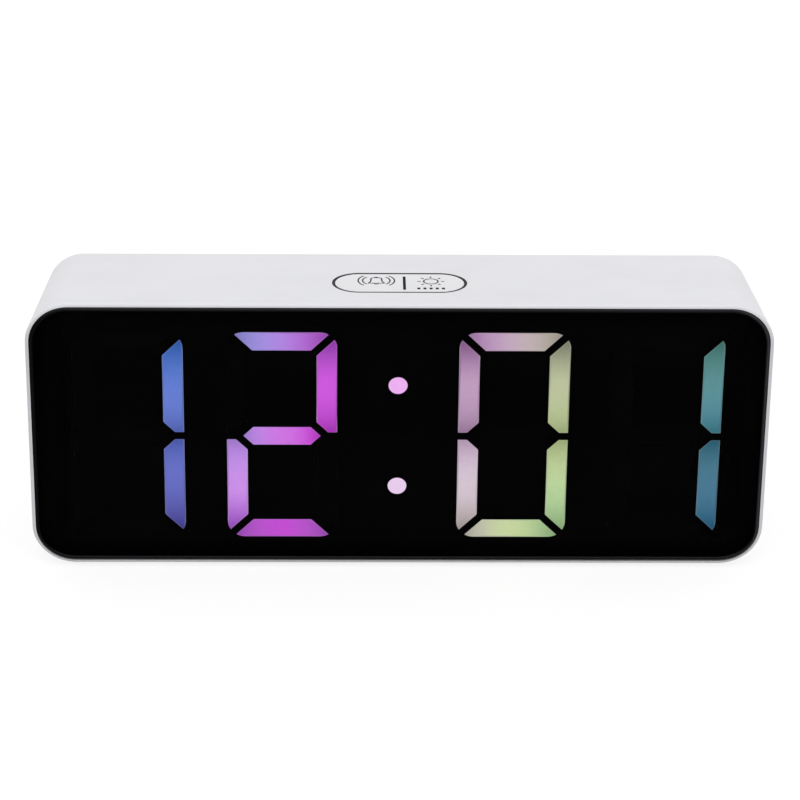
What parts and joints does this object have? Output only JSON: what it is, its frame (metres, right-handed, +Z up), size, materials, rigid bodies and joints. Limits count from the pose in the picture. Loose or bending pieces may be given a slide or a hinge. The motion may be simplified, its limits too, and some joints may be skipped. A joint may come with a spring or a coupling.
{
  "type": "digital led desk clock",
  "caption": "Free-standing desk clock with a leaning white case, smoked front, glowing seven-segment time, top snooze key and rear keys.",
  "frame": {"origin": "under the middle of the clock, on the surface that its feet stand on", "axes": "+X to the right seen from the front, +Y from the lens to the rear, +Z up"},
  "size_m": [0.1648, 0.0384, 0.0662],
  "materials": {
    "white_shell": "satin moulded",
    "white_key": "satin moulded",
    "black_lens": "glossy smoked acrylic",
    "black_film": "matte print",
    "black_collar": "matte",
    "blue_segment": "smoked diffuser, lit",
    "magenta_segment": "smoked diffuser, lit",
    "green_segment": "smoked diffuser, lit",
    "teal_segment": "smoked diffuser, lit",
    "pink_segment": "smoked diffuser, lit",
    "dark_segment": "smoked diffuser, unlit",
    "white_cells": "moulded",
    "green_board": "solder mask",
    "led_package": "moulded",
    "chip_black": "moulded epoxy",
    "switch_black": "moulded",
    "steel": "plated",
    "spring_steel": "nickel plated",
    "socket_steel": "plated",
    "cell_sleeve": "printed sleeve",
    "sleeve_silver": "satin",
    "rubber_black": "matte",
    "lead_red": "insulation",
    "ribbon_white": "flat cable",
    "grey_print": "moulded"
  },
  "bodies": {
    "clock": {"main_housing": "white_shell", "front_lens": "black_lens", "lens_tape": "black_film", "segment_mask": "black_film", "colon_inserts": "pink_segment", "dark_segment_inserts": "dark_segment", "light_box": "white_cells", "display_board": "green_board", "segment_leds": "led_package", "driver_chips": "chip_black", "display_screws": "steel", "key_bezel": "black_collar", "top_switch_body": "steel", "top_switch_board": "green_board", "top_board_screws": "steel", "top_switch_leads": "lead_red", "rear_cover": "white_shell", "battery_cells": "cell_sleeve", "battery_springs": "spring_steel", "battery_contacts": "spring_steel", "battery_leads": "lead_red", "control_board": "green_board", "control_board_screws": "steel", "control_switches": "steel", "slide_switch_body": "steel", "usb_socket_shell": "socket_steel", "usb_socket_tongue": "switch_black", "sounder": "chip_black", "control_chip": "chip_black", "capacitor": "sleeve_silver", "ribbon_sockets": "grey_print", "display_ribbon": "ribbon_white", "case_screws": "steel", "rubber_feet": "rubber_black", "first_digit_inserts": "blue_segment", "second_digit_inserts": "magenta_segment", "third_digit_inserts": "green_segment", "fourth_digit_inserts": "teal_segment"},
    "top_key": {"top_key": "white_key", "top_switch_plunger": "switch_black"},
    "alarm_slider": {"alarm_slider": "switch_black"},
    "battery_door": {"battery_door": "white_shell"},
    "time_button": {"time_button": "grey_print", "time_plunger": "switch_black"},
    "alarm_button": {"alarm_button": "grey_print", "alarm_plunger": "switch_black"},
    "plus_button": {"plus_button": "grey_print", "plus_plunger": "switch_black"},
    "minus_button": {"minus_button": "grey_print", "minus_plunger": "switch_black"},
    "colour_button": {"colour_button": "grey_print", "colour_plunger": "switch_black"}
  },
  "joints": [
    {"name": "top_key_press", "type": "slide", "parent": "clock", "child": "top_key", "axis": [0, -0.1956, -0.9807], "range_m": [0, 0.00035], "stiffness_N_per_m": 1500, "springref_m": -0.0003},
    {"name": "alarm_slider_slide", "type": "slide", "parent": "clock", "child": "alarm_slider", "axis": [1, 0, 0], "range_m": [0, 0.002]},
    {"name": "battery_door_hinge", "type": "hinge", "parent": "clock", "child": "battery_door", "pos_m": [-0.038, 0.01317, 0.01361], "axis": [-1, 0, 0], "range_deg": [0, 100]},
    {"name": "time_button_press", "type": "slide", "parent": "clock", "child": "time_button", "axis": [0, -0.9952, 0.0983], "range_m": [0, 0.00035], "stiffness_N_per_m": 800, "springref_m": -0.0003},
    {"name": "alarm_button_press", "type": "slide", "parent": "clock", "child": "alarm_button", "axis": [0, -0.9952, 0.0983], "range_m": [0, 0.00035], "stiffness_N_per_m": 800, "springref_m": -0.0003},
    {"name": "plus_button_press", "type": "slide", "parent": "clock", "child": "plus_button", "axis": [0, -0.9952, 0.0983], "range_m": [0, 0.00035], "stiffness_N_per_m": 800, "springref_m": -0.0003},
    {"name": "minus_button_press", "type": "slide", "parent": "clock", "child": "minus_button", "axis": [0, -0.9952, 0.0983], "range_m": [0, 0.00035], "stiffness_N_per_m": 800, "springref_m": -0.0003},
    {"name": "colour_button_press", "type": "slide", "parent": "clock", "child": "colour_button", "axis": [0, -0.9952, 0.0983], "range_m": [0, 0.00035], "stiffness_N_per_m": 800, "springref_m": -0.0003}
  ]
}
